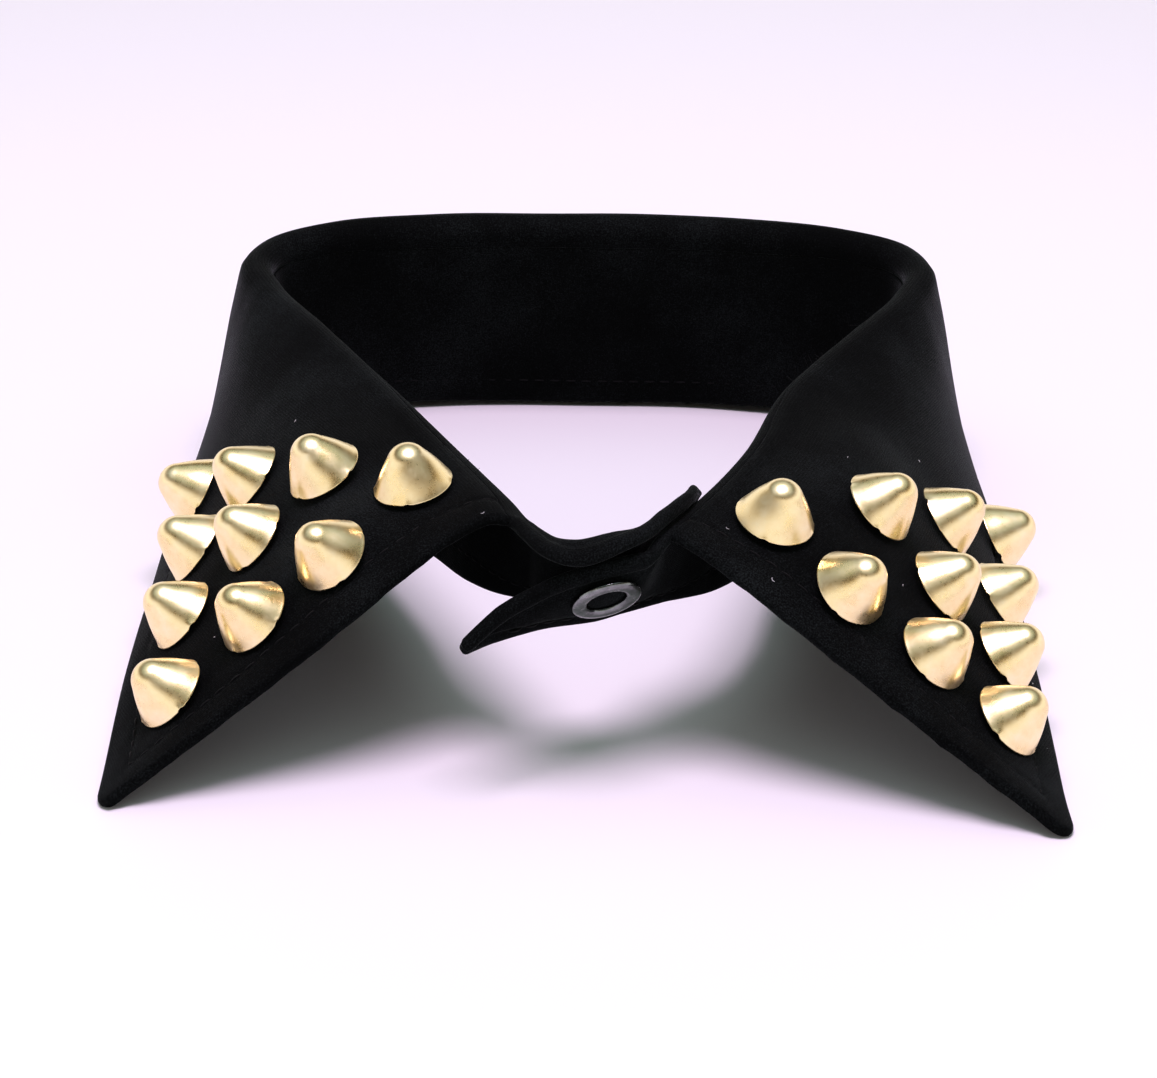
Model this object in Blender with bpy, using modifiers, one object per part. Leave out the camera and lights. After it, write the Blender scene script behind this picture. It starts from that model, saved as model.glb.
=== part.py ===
"""Detachable shirt collar in black cotton, snapped shut at the front and standing on its own hem.

A stand goes round the neck and ends in two tabs that lap at the front and close with a ring snap.
The fall is sewn to the top of the stand, rolls over a crest and comes down outside to the floor.
Each point of the fall carries ten cone studs in a triangle.

Lengths in the tables are millimetres. +X is the wearer's left, -Y is the front, the floor is Z = 0.
"""

import math

import bmesh
import bpy
import numpy as np
from mathutils import Matrix, Vector

MM = 0.001

# The tables' X is measured from the middle of the neck, which lies this far from the part's own.
NECK_MIDDLE = -1.17

CLOTH = 1.8
SEAM_GAP = 0.3

# The tabs lap in a plane that faces the front and the floor, turned a little to +X.
SNAP_CENTRE = (2.9, -66.2, 27.0)
SNAP_TURN = math.radians(20.7)
SNAP_TILT = math.radians(38.0)
TAB_SPACING = 4.9

# One row for each section of the cloth, from the centre back to the front of the fall.
# crest is the top of the roll, hem the lower edge of the fall, foot the lower edge of the stand.
# seam is how far past the crest the fall is sewn on, roll the radius of the roll, and belly how
# far the fall stands out between the roll and the hem.
COLUMNS = (
    "crest_x", "crest_y", "crest_z", "hem_x", "hem_y", "hem_z",
    "foot_x", "foot_y", "foot_z", "seam", "roll", "belly",
)
BACK_ROWS = (
    (0.0, 67.0, 36.6, 0.0, 86.2, 0.0, 0.0, 70.0, 0.8, -5.0, 2.2, 0.3),
    (27.0, 65.8, 36.6, 27.5, 84.7, 0.0, 27.5, 68.6, 1.2, -5.0, 2.2, 0.3),
    (44.5, 61.0, 36.7, 47.5, 77.3, 0.0, 45.5, 63.3, 2.0, -4.5, 2.2, 0.6),
    (54.0, 53.6, 36.8, 60.0, 64.5, 0.0, 54.7, 55.0, 3.0, -4.2, 2.2, 0.6),
    (56.7, 45.0, 36.9, 64.8, 50.0, 0.3, 57.0, 45.5, 4.0, -4.0, 2.2, 0.4),
    (53.5, 31.5, 37.0, 67.0, 30.0, 1.2, 53.2, 31.5, 5.5, -3.5, 2.2, 0.9),
    (45.6, 15.5, 37.0, 68.2, 7.0, 2.6, 44.6, 15.5, 8.5, -2.5, 2.3, 2.8),
    (32.6, -10.4, 36.6, 69.0, -24.0, 3.8, 30.6, -10.2, 12.5, -0.5, 2.5, 5.4),
)
LEFT_FRONT_ROWS = (
    (-23.8, -29.0, 36.4, -69.6, -46.0, 3.4, -22.6, -28.5, 15.0, 0.6, 3.2, 7.4),
    (-17.2, -43.5, 36.4, -70.0, -62.0, 1.6, -17.4, -42.6, 18.0, 0.8, 4.2, 7.4),
    (-13.0, -53.5, 36.6, -70.1, -73.0, 0.4, -12.9, -50.6, 20.0, 0.9, 5.4, 4.8),
    (-10.2, -61.5, 36.8, -70.2, -83.8, 0.0, -8.2, -54.8, 21.3, 1.2, 6.5, 0.8),
)
RIGHT_FRONT_ROWS = (
    (26.0, -33.0, 36.2, 69.6, -50.0, 3.2, 24.6, -32.6, 15.5, 0.5, 2.6, 7.4),
    (19.2, -49.2, 36.0, 70.0, -68.0, 1.4, 18.4, -46.2, 18.5, 0.7, 2.7, 7.0),
    (14.9, -58.0, 36.0, 70.3, -78.5, 0.3, 14.0, -51.8, 20.3, 0.8, 2.8, 4.4),
    (11.8, -64.6, 36.0, 70.8, -88.6, 0.0, 11.0, -55.2, 21.4, 0.8, 2.8, 0.2),
)

# The tabs, from the fall's corner to the tip, in the plane of the snap: along it, up it, out of it.
# On a tab hem is only the way in which the top edge rolls out.
TAB_COLUMNS = (
    "along", "crest_up", "crest_out", "hem_up", "hem_out", "foot_up", "foot_out", "seam", "roll",
)
OUTER_TAB_ROWS = (
    (3.8, 9.2, 0.3, 20.0, 8.0, -6.2, -0.6, 0.4, 2.4),
    (-1.0, 8.7, 0.3, 20.0, 8.0, -6.3, 0.0, 0.0, 2.0),
    (-6.0, 7.2, 0.3, 20.0, 8.0, -6.0, 0.0, 0.0, 2.0),
    (-12.0, 4.5, 0.9, 18.0, 8.0, -5.4, 0.6, 0.0, 2.0),
    (-17.5, 1.8, 2.2, 15.0, 8.0, -4.4, 2.0, 0.0, 2.0),
    (-22.6, 0.0, 4.0, 12.0, 10.0, -3.2, 3.8, 0.0, 2.0),
)
INNER_TAB_ROWS = (
    (-5.0, 10.2, 0.8, 8.0, 9.0, -8.0, 0.0, 2.6, 3.2),
    (0.0, 10.6, 0.3, 10.0, 9.0, -7.4, 0.0, 2.2, 3.0),
    (4.6, 10.2, -0.7, 13.0, 9.0, -6.8, 0.2, 1.6, 3.0),
    (10.0, 9.0, -3.8, 14.0, 5.0, -6.4, -2.8, 0.8, 3.0),
    (15.0, 5.8, -7.4, 13.0, 0.0, -6.4, -6.6, 0.5, 3.0),
    (19.4, 0.8, -10.8, 9.0, -4.0, -6.2, -10.6, 0.3, 3.0),
)

PROBE = 0.05
SECTION_STEP = 3.6
TAB_STEP = 2.6
FALL_SHARES = (0.0, 0.03, 0.06, 0.09, 0.125, 0.165, 0.21, 0.28, 0.38, 0.5, 0.62, 0.75, 0.88, 1.0)
STAND_SHARES = (0.0, 0.2, 0.4, 0.6, 0.76, 0.87, 0.94, 1.0)

# The fall swells to a soft shoulder just below its crest. Its tips are rounded, and its front edges
# are cut a little hollow below the roll.
SHOULDER_SHARE = 0.22
SHOULDER_SOFTNESS = 0.5
TIP_RADIUS = 3.0
LEFT_HOLLOW = 2.4
RIGHT_HOLLOW = 0.6
HOLLOW_REACH = 7.0

# A row for each stud: round the crest from the corner of the fall, and down from the crest.
LEFT_STUDS = (
    (16.7, 9.7), (10.7, 25.2), (11.4, 39.6), (10.7, 56.2),
    (30.4, 17.4), (30.0, 31.6), (28.9, 47.3),
    (47.9, 25.1), (46.6, 38.7), (69.3, 32.7),
)
RIGHT_STUDS = (
    (13.7, 10.4), (10.4, 24.8), (11.9, 40.1), (12.2, 54.8),
    (29.8, 19.7), (27.1, 34.2), (27.8, 48.3),
    (48.9, 30.2), (46.0, 43.9), (73.5, 39.9),
)
STUD_RADIUS = 6.0
STUD_SIDE_ANGLE = math.radians(31.0)
STUD_TIP_RADIUS = 3.2
STUD_LEAN = math.radians(5.0)
STUD_TURNS = 20
STUD_TIP_STEPS = 4
METAL_GAP = 0.3

# The snap's turned pieces, a row each: outer and inner radius, and its two faces out of the tab.
SNAP_COLUMNS = ("outer_radius", "inner_radius", "outer_face", "inner_face")
SNAP_PIECES = {
    "snap_ring": (5.25, 2.55, 1.9, 1.3),
    "snap_socket": (4.8, 2.6, -1.35, -2.6),
    "snap_ball": (4.3, 0.0, -2.95, -3.55),
    "snap_back_ring": (4.5, 2.4, -6.5, -7.2),
}
BALL_RADIUS = 2.2
BALL_TOP = -1.6
SNAP_TURNS = 28
SNAP_PLACE = (-0.6, 2.0)


def spline(knots, rows, places):
    """Return a smooth curve through the rows, in which a run of equal values stays flat."""
    knots = np.asarray(knots, float)
    rows = np.asarray(rows, float)
    places = np.asarray(places, float)
    widths = np.diff(knots)
    slopes = np.diff(rows, axis=0) / widths[:, None]
    tangents = np.empty_like(rows)
    tangents[0] = slopes[0]
    tangents[-1] = slopes[-1]
    before = widths[:-1, None]
    after = widths[1:, None]
    tangents[1:-1] = (slopes[:-1] * after + slopes[1:] * before) / (before + after)
    flat = np.minimum(np.abs(slopes[:-1]), np.abs(slopes[1:])) < 1e-9
    tangents[1:-1][flat] = 0.0
    index = np.clip(np.searchsorted(knots, places, side="right") - 1, 0, len(widths) - 1)
    width = widths[index][:, None]
    t = ((places - knots[index])[:, None]) / width
    start = rows[index]
    end = rows[index + 1]
    return (
        start * (2 * t**3 - 3 * t**2 + 1)
        + tangents[index] * width * (t**3 - 2 * t**2 + t)
        + end * (3 * t**2 - 2 * t**3)
        + tangents[index + 1] * width * (t**3 - t**2)
    )


def unit(vector):
    return vector / np.linalg.norm(vector)


def metres(point):
    """Return a point of the tables as a place in the part's own frame."""
    return (Vector(point) + Vector((NECK_MIDDLE, 0.0, 0.0))) * MM


def snap_axes():
    """Return the snap's directions along the tab, up the tab and out of it."""
    along = np.array((math.cos(SNAP_TURN), math.sin(SNAP_TURN), 0.0))
    front = np.array((math.sin(SNAP_TURN), -math.cos(SNAP_TURN), 0.0))
    out = front * math.cos(SNAP_TILT) - np.array((0.0, 0.0, math.sin(SNAP_TILT)))
    return along, np.cross(out, along), out


def snap_point(along, up, out):
    axes = snap_axes()
    return np.array(SNAP_CENTRE) + along * axes[0] + up * axes[1] + out * axes[2]


def tab_row(values, spacing):
    """Turn a row of a tab's table into a row of the section table."""
    row = dict(zip(TAB_COLUMNS, values))
    crest = snap_point(row["along"], row["crest_up"], row["crest_out"] - spacing)
    hem = snap_point(row["along"], row["hem_up"], row["hem_out"] - spacing)
    foot = snap_point(row["along"], row["foot_up"], row["foot_out"] - spacing)
    return (*crest, *hem, *foot, row["seam"], row["roll"], 0.0)


def mirrored(values):
    return tuple(-v if name.endswith("_x") else v for name, v in zip(COLUMNS, values))


def ring_rows():
    """Return all sections from the inner tab's tip, round the back, to the outer tab's tip."""
    inner = [tab_row(values, TAB_SPACING) for values in reversed(INNER_TAB_ROWS)]
    left = [*reversed(LEFT_FRONT_ROWS)] + [mirrored(values) for values in reversed(BACK_ROWS[1:])]
    right = [*BACK_ROWS] + [*RIGHT_FRONT_ROWS]
    outer = [tab_row(values, 0.0) for values in OUTER_TAB_ROWS]
    return np.array(inner + left + right + outer)


class Ring:
    """The cloth's mid-surface, found by the distance round the crest and across the cloth."""

    def __init__(self):
        rows = ring_rows()
        self.axes = np.array(snap_axes())
        self.paths = [(rows[:, i:i + 3] - SNAP_CENTRE) @ self.axes.T for i in (0, 3, 6)]
        self.traits = rows[:, 9:12]
        steps = np.linalg.norm(np.diff(rows[:, 0:3], axis=0), axis=1)
        self.knots = np.concatenate(([0.0], np.cumsum(steps)))
        first = len(INNER_TAB_ROWS)
        last = len(rows) - 1 - len(OUTER_TAB_ROWS)
        self.stretches = (slice(0, first + 1), slice(first, last + 1), slice(last, len(rows)))
        self.start, self.fall_start = self.knots[0], self.knots[first]
        self.fall_end, self.end = self.knots[last], self.knots[-1]

    def section(self, place):
        """Return the section at a distance round the crest from the inner tab's tip."""
        stretch = self.stretches[int(place > self.fall_start) + int(place > self.fall_end)]
        crest = spline(self.knots, self.paths[0], [place])[0]
        foot = spline(self.knots, self.paths[2], [place])[0]
        hem = spline(self.knots[stretch], self.paths[1][stretch], [place])[0]
        traits = spline(self.knots[stretch], self.traits[stretch], [place])[0]
        crest, hem, foot = (point @ self.axes + SNAP_CENTRE for point in (crest, hem, foot))
        return Section(foot, crest, hem, *traits)


def shoulder(share):
    """Return how full the swell is at a share of the run: up to a soft shoulder, then straight."""

    def peak(x):
        up = x / SHOULDER_SHARE
        down = (1.0 - x) / (1.0 - SHOULDER_SHARE)
        return (up + down - math.hypot(up - down, SHOULDER_SOFTNESS)) / 2.0

    return peak(share) - peak(0.0) * (1.0 - share) - peak(1.0) * share


class Section:
    """A cut across the cloth: up from the foot, round the roll and down to the hem."""

    def __init__(self, foot, crest, hem, seam, roll, belly):
        self.foot = foot
        self.hem = hem
        self.seam = seam
        self.roll = roll
        self.belly = belly
        self.top = unit(unit(crest - foot) - unit(hem - crest))
        across = hem - foot
        self.across = unit(across - self.top * np.dot(across, self.top))
        self.centre = crest - roll * self.top
        self.foot_angle, self.foot_run = self.tangent(foot)
        self.hem_angle, self.hem_run = self.tangent(hem)
        self.foot_length = roll * self.foot_angle + self.foot_run
        self.hem_length = roll * self.hem_angle + self.hem_run

    def tangent(self, end):
        """Return the roll's angle from its top to where the straight run to this end leaves it."""
        offset = end - self.centre
        sideways = abs(np.dot(offset, self.across))
        height = np.dot(offset, self.top)
        distance = math.hypot(sideways, height)
        angle = math.atan2(sideways, height) - math.acos(self.roll / distance)
        return angle, math.sqrt(distance**2 - self.roll**2)

    def point(self, along):
        """Return the point at a distance along the cloth from the crest, with the hem positive."""
        side = 1.0 if along > 0 else -1.0
        angle = self.hem_angle if along > 0 else self.foot_angle
        end = self.hem if along > 0 else self.foot
        run = self.hem_run if along > 0 else self.foot_run
        on_roll = min(abs(along) / self.roll, angle)
        spoke = self.top * math.cos(on_roll) + self.across * side * math.sin(on_roll)
        point = self.centre + self.roll * spoke
        past = abs(along) - self.roll * angle
        if past <= 0:
            return point
        share = past / run
        swell = self.belly * shoulder(share) if along > 0 else 0.0
        return point + (end - point) * share + spoke * swell


def surface(ring, place, along):
    """Return a point of the cloth's mid-surface and the direction out of the cloth there."""
    section = ring.section(place)
    across = section.point(along + PROBE) - section.point(along - PROBE)
    round_way = ring.section(place + PROBE).point(along) - ring.section(place - PROBE).point(along)
    return section.point(along), unit(np.cross(round_way, across))


def wall_sides(ring, cells):
    """Return the two sides of a wall from rows of places and distances along the cloth."""
    found = np.array([[surface(ring, place, along) for place, along in row] for row in cells])
    points, normals = found[:, :, 0], found[:, :, 1]
    return points + normals * CLOTH / 2, points - normals * CLOTH / 2


def wall_mesh(name, upper, under):
    """Join two grids of points with rims into one closed wall."""
    rows, columns, _ = upper.shape
    cloth = bmesh.new()
    tops = [[cloth.verts.new(metres(p)) for p in row] for row in upper]
    downs = [[cloth.verts.new(metres(p)) for p in row] for row in under]
    for i in range(rows - 1):
        for j in range(columns - 1):
            cloth.faces.new((tops[i][j], tops[i + 1][j], tops[i + 1][j + 1], tops[i][j + 1]))
            cloth.faces.new((downs[i][j], downs[i][j + 1], downs[i + 1][j + 1], downs[i + 1][j]))
    border = [(i, 0) for i in range(rows - 1, 0, -1)]
    border += [(0, j) for j in range(columns - 1)]
    border += [(i, columns - 1) for i in range(rows - 1)]
    border += [(rows - 1, j) for j in range(columns - 1, 0, -1)]
    for (i, j), (k, m) in zip(border, border[1:] + border[:1]):
        cloth.faces.new((tops[i][j], tops[k][m], downs[k][m], downs[i][j]))
    bmesh.ops.triangulate(cloth, faces=cloth.faces[:])
    mesh = bpy.data.meshes.new(name)
    cloth.to_mesh(mesh)
    cloth.free()
    mesh.shade_smooth()
    mesh.set_sharp_from_angle(angle=math.radians(50.0))
    return mesh


def even_places(start, end, step):
    return np.linspace(start, end, max(2, round((end - start) / step) + 1))


def fall_places(ring):
    """Return the places of the fall's sections, close together where its tips are rounded."""
    ends = TIP_RADIUS * np.array((0.0, 0.12, 0.35, 0.7, 1.2))
    inner = even_places(ring.fall_start + ends[-1], ring.fall_end - ends[-1], SECTION_STEP)
    return np.concatenate((ring.fall_start + ends[:-1], inner, ring.fall_end - ends[:-1][::-1]))


def hollow(depth, past_seam):
    """Return how far the front edge is cut back, at a distance past the seam."""
    reach = past_seam / HOLLOW_REACH
    return depth * reach * math.exp(1.0 - reach)


def fall_cell(ring, place, share):
    """Return where on the cloth a share of the fall's depth lies, at a place round the crest."""
    section = ring.section(place)
    first = section.seam + SEAM_GAP / 2
    from_front = min(place - ring.fall_start, ring.fall_end - place)
    corner = max(0.0, TIP_RADIUS - from_front)
    rounding = TIP_RADIUS - math.sqrt(TIP_RADIUS**2 - corner**2)
    past_seam = (section.hem_length - rounding - first) * share
    along = (place - ring.fall_start) / (ring.fall_end - ring.fall_start)
    shift = hollow(LEFT_HOLLOW, past_seam) * max(0.0, 1.0 - 4.0 * along)
    shift -= hollow(RIGHT_HOLLOW, past_seam) * max(0.0, 4.0 * along - 3.0)
    return place + shift, first + past_seam


def fall_grids(ring):
    """Return the fall's upper and under sides, cut level with the floor at the hem."""
    cells = [[fall_cell(ring, place, share) for share in FALL_SHARES] for place in fall_places(ring)]
    sides = wall_sides(ring, cells)
    middle = (sides[0] + sides[1]) / 2
    for side in sides:
        slope = side[:, -1] - side[:, -2]
        on_floor = (middle[:, -1, 2] < 0.01) | (side[:, -1, 2] < 0.0)
        drop = np.where(on_floor, side[:, -1, 2] / slope[:, 2], 0.0)
        side[:, -1] -= slope * drop[:, None]
    return sides


def stand_grids(ring):
    """Return the stand's two sides, from the inner tab's tip to the outer tab's tip."""
    inner = even_places(ring.start, ring.fall_start, TAB_STEP)
    middle = even_places(ring.fall_start, ring.fall_end, SECTION_STEP)
    outer = even_places(ring.fall_end, ring.end, TAB_STEP)
    cells = []
    for place in np.concatenate((inner, middle[1:], outer[1:])):
        section = ring.section(place)
        length = section.foot_length + section.seam - SEAM_GAP / 2
        cells.append([(place, length * share - section.foot_length) for share in STAND_SHARES])
    return wall_sides(ring, cells)


def stud_profile():
    """Return the half outline of a stud: a round tip, a straight side and a flat base."""
    side_height = (STUD_RADIUS - STUD_TIP_RADIUS * math.cos(STUD_SIDE_ANGLE)) / math.tan(STUD_SIDE_ANGLE)
    centre = side_height - STUD_TIP_RADIUS * math.sin(STUD_SIDE_ANGLE)
    points = []
    for angle in np.linspace(0.0, math.pi / 2 - STUD_SIDE_ANGLE, STUD_TIP_STEPS + 1):
        points.append((STUD_TIP_RADIUS * math.sin(angle), centre + STUD_TIP_RADIUS * math.cos(angle)))
    return [*points, (STUD_RADIUS, 0.0), (0.0, 0.0)]


def snap_profile(name):
    """Return the half outline of one of the snap's pieces, and whether it closes round a hole."""
    piece = dict(zip(SNAP_COLUMNS, SNAP_PIECES[name]))
    outer, inner = piece["outer_radius"], piece["inner_radius"]
    top, bottom = piece["outer_face"], piece["inner_face"]
    if inner == 0.0:
        post = [(0.0, BALL_TOP), (BALL_RADIUS * 0.7, BALL_TOP), (BALL_RADIUS, BALL_TOP - 0.5)]
        return [*post, (BALL_RADIUS, top), (outer, top), (outer, bottom), (0.0, bottom)], False
    bevel = (top - bottom) * 0.4
    rim = [(outer - bevel, top), (outer, top - bevel), (outer, bottom)]
    return [*rim, (inner, bottom), (inner, top - bevel), (inner + bevel, top)], True


def profile_mesh(name, profile, closed, material):
    points = [(radius * MM, 0.0, height * MM) for radius, height in profile]
    edges = [(i, i + 1) for i in range(len(points) - 1)]
    if closed:
        edges.append((len(points) - 1, 0))
    mesh = bpy.data.meshes.new(name)
    mesh.from_pydata(points, edges, [])
    mesh.materials.append(material)
    return mesh


def add_turned(name, mesh, place, axis, turns, collection):
    """Add a shape turned from a half outline, standing on a place with its axis given."""
    item = add_object(name, mesh, collection)
    screw = item.modifiers.new("turn", "SCREW")
    screw.steps = turns
    screw.render_steps = turns
    screw.use_merge_vertices = True
    screw.merge_threshold = 0.0001
    turn = Vector(axis).to_track_quat("Z", "Y").to_matrix().to_4x4()
    item.matrix_world = Matrix.Translation(metres(place)) @ turn


def make_material(name, colour, metallic, roughness):
    material = bpy.data.materials.new(name)
    material.use_nodes = True
    shader = material.node_tree.nodes["Principled BSDF"]
    shader.inputs["Base Color"].default_value = (*colour, 1.0)
    shader.inputs["Metallic"].default_value = metallic
    shader.inputs["Roughness"].default_value = roughness
    return material


def add_object(name, mesh, collection):
    item = bpy.data.objects.new(name, mesh)
    collection.objects.link(item)
    return item


def stud_seat(ring, place, down):
    """Return the middle of a stud's base and its axis, which its weight leans towards the hem."""
    point, normal = surface(ring, place, down)
    hemward = unit(ring.section(place).point(down + PROBE) - point)
    axis = normal * math.cos(STUD_LEAN) + hemward * math.sin(STUD_LEAN)
    lift = CLOTH / 2 + METAL_GAP + STUD_RADIUS * math.sin(STUD_LEAN)
    return point + normal * lift, axis


def add_studs(ring, material, collection):
    profile = profile_mesh("cone_stud", stud_profile(), False, material)
    for side, rows in (("left", LEFT_STUDS), ("right", RIGHT_STUDS)):
        for number, (round_way, down) in enumerate(rows, start=1):
            place = ring.fall_start + round_way if side == "left" else ring.fall_end - round_way
            base, axis = stud_seat(ring, place, down)
            add_turned(f"stud_{side}_{number:02d}", profile, base, axis, STUD_TURNS, collection)


def add_snap(material, collection):
    out = snap_axes()[2]
    centre = snap_point(*SNAP_PLACE, 0.0)
    for name in SNAP_PIECES:
        profile, closed = snap_profile(name)
        mesh = profile_mesh(name, profile, closed, material)
        add_turned(name, mesh, centre, out, SNAP_TURNS, collection)


def main():
    for item in list(bpy.data.objects):
        bpy.data.objects.remove(item)
    collection = bpy.data.collections.new("detachable_shirt_collar")
    bpy.context.scene.collection.children.link(collection)
    cotton = make_material("black_cotton", (0.012, 0.012, 0.014), 0.0, 0.8)
    gold = make_material("gold_plated_brass", (0.78, 0.58, 0.28), 1.0, 0.35)
    nickel = make_material("nickel_plated_steel", (0.6, 0.59, 0.57), 1.0, 0.3)
    ring = Ring()
    for name, grids in (("collar_fall", fall_grids(ring)), ("collar_stand", stand_grids(ring))):
        mesh = wall_mesh(name, *grids)
        mesh.materials.append(cotton)
        add_object(name, mesh, collection)
    add_studs(ring, gold, collection)
    add_snap(nickel, collection)


main()
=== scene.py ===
"""Looks of the studded detachable collar: cloth, seams, stitches, studs, snap, floor and light.

The cloth is worked out from the same tables as the part's source, with finer steps, soft edges
and stitch lines. Lengths in the tables are millimetres, and those in Blender metres.
"""

import math

import bpy
import numpy as np
from mathutils import Matrix, Vector


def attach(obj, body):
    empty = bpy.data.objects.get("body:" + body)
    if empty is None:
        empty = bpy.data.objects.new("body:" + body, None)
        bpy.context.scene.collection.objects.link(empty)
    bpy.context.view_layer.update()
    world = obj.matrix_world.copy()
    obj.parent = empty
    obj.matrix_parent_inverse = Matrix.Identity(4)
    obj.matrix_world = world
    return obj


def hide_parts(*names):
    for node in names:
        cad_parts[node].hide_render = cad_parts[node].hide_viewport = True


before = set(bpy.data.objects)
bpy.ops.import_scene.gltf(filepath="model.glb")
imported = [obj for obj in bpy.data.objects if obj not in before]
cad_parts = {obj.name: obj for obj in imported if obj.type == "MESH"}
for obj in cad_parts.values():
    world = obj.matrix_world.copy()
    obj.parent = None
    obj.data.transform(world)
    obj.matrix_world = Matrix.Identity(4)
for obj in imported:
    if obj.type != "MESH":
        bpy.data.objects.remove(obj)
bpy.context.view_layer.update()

MM = 0.001

# The photograph: its size in pixels, focal length in pixels, and how the camera stood.
PHOTO_WIDTH = 1157
FOCAL_PIXELS = 3660.0
CAMERA_DISTANCE = 0.615
CAMERA_ELEVATION = math.radians(25.0)
CAMERA_ROLL = math.radians(0.8)
CAMERA_TARGET = (-0.00222, 0.012, 0.0)
SENSOR_WIDTH = 36.0

# Sizes and tables of the part's source.
NECK_MIDDLE = -1.17
CLOTH = 1.8
SNAP_CENTRE = (2.9, -66.2, 27.0)
SNAP_TURN = math.radians(20.7)
SNAP_TILT = math.radians(38.0)
TAB_SPACING = 4.9
COLUMNS = (
    "crest_x", "crest_y", "crest_z", "hem_x", "hem_y", "hem_z",
    "foot_x", "foot_y", "foot_z", "seam", "roll", "belly",
)
BACK_ROWS = (
    (0.0, 67.0, 36.6, 0.0, 86.2, 0.0, 0.0, 70.0, 0.8, -5.0, 2.2, 0.3),
    (27.0, 65.8, 36.6, 27.5, 84.7, 0.0, 27.5, 68.6, 1.2, -5.0, 2.2, 0.3),
    (44.5, 61.0, 36.7, 47.5, 77.3, 0.0, 45.5, 63.3, 2.0, -4.5, 2.2, 0.6),
    (54.0, 53.6, 36.8, 60.0, 64.5, 0.0, 54.7, 55.0, 3.0, -4.2, 2.2, 0.6),
    (56.7, 45.0, 36.9, 64.8, 50.0, 0.3, 57.0, 45.5, 4.0, -4.0, 2.2, 0.4),
    (53.5, 31.5, 37.0, 67.0, 30.0, 1.2, 53.2, 31.5, 5.5, -3.5, 2.2, 0.9),
    (45.6, 15.5, 37.0, 68.2, 7.0, 2.6, 44.6, 15.5, 8.5, -2.5, 2.3, 2.8),
    (32.6, -10.4, 36.6, 69.0, -24.0, 3.8, 30.6, -10.2, 12.5, -0.5, 2.5, 5.4),
)
LEFT_FRONT_ROWS = (
    (-23.8, -29.0, 36.4, -69.6, -46.0, 3.4, -22.6, -28.5, 15.0, 0.6, 3.2, 7.4),
    (-17.2, -43.5, 36.4, -70.0, -62.0, 1.6, -17.4, -42.6, 18.0, 0.8, 4.2, 7.4),
    (-13.0, -53.5, 36.6, -70.1, -73.0, 0.4, -12.9, -50.6, 20.0, 0.9, 5.4, 4.8),
    (-10.2, -61.5, 36.8, -70.2, -83.8, 0.0, -8.2, -54.8, 21.3, 1.2, 6.5, 0.8),
)
RIGHT_FRONT_ROWS = (
    (26.0, -33.0, 36.2, 69.6, -50.0, 3.2, 24.6, -32.6, 15.5, 0.5, 2.6, 7.4),
    (19.2, -49.2, 36.0, 70.0, -68.0, 1.4, 18.4, -46.2, 18.5, 0.7, 2.7, 7.0),
    (14.9, -58.0, 36.0, 70.3, -78.5, 0.3, 14.0, -51.8, 20.3, 0.8, 2.8, 4.4),
    (11.8, -64.6, 36.0, 70.8, -88.6, 0.0, 11.0, -55.2, 21.4, 0.8, 2.8, 0.2),
)
TAB_COLUMNS = (
    "along", "crest_up", "crest_out", "hem_up", "hem_out", "foot_up", "foot_out", "seam", "roll",
)
OUTER_TAB_ROWS = (
    (3.8, 9.2, 0.3, 20.0, 8.0, -6.2, -0.6, 0.4, 2.4),
    (-1.0, 8.7, 0.3, 20.0, 8.0, -6.3, 0.0, 0.0, 2.0),
    (-6.0, 7.2, 0.3, 20.0, 8.0, -6.0, 0.0, 0.0, 2.0),
    (-12.0, 4.5, 0.9, 18.0, 8.0, -5.4, 0.6, 0.0, 2.0),
    (-17.5, 1.8, 2.2, 15.0, 8.0, -4.4, 2.0, 0.0, 2.0),
    (-22.6, 0.0, 4.0, 12.0, 10.0, -3.2, 3.8, 0.0, 2.0),
)
INNER_TAB_ROWS = (
    (-5.0, 10.2, 0.8, 8.0, 9.0, -8.0, 0.0, 2.6, 3.2),
    (0.0, 10.6, 0.3, 10.0, 9.0, -7.4, 0.0, 2.2, 3.0),
    (4.6, 10.2, -0.7, 13.0, 9.0, -6.8, 0.2, 1.6, 3.0),
    (10.0, 9.0, -3.8, 14.0, 5.0, -6.4, -2.8, 0.8, 3.0),
    (15.0, 5.8, -7.4, 13.0, 0.0, -6.4, -6.6, 0.5, 3.0),
    (19.4, 0.8, -10.8, 9.0, -4.0, -6.2, -10.6, 0.3, 3.0),
)
SHOULDER_SHARE = 0.22
SHOULDER_SOFTNESS = 0.5
TIP_RADIUS = 3.0
LEFT_HOLLOW = 2.4
RIGHT_HOLLOW = 0.6
HOLLOW_REACH = 7.0
LEFT_STUDS = (
    (16.7, 9.7), (10.7, 25.2), (11.4, 39.6), (10.7, 56.2),
    (30.4, 17.4), (30.0, 31.6), (28.9, 47.3),
    (47.9, 25.1), (46.6, 38.7), (69.3, 32.7),
)
RIGHT_STUDS = (
    (13.7, 10.4), (10.4, 24.8), (11.9, 40.1), (12.2, 54.8),
    (29.8, 19.7), (27.1, 34.2), (27.8, 48.3),
    (48.9, 30.2), (46.0, 43.9), (73.5, 39.9),
)
STUD_RADIUS = 6.0
STUD_SIDE_ANGLE = math.radians(31.0)
STUD_TIP_RADIUS = 3.2
STUD_LEAN = math.radians(5.0)
METAL_GAP = 0.3
SNAP_PLACE = (-0.6, 2.0)

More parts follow.
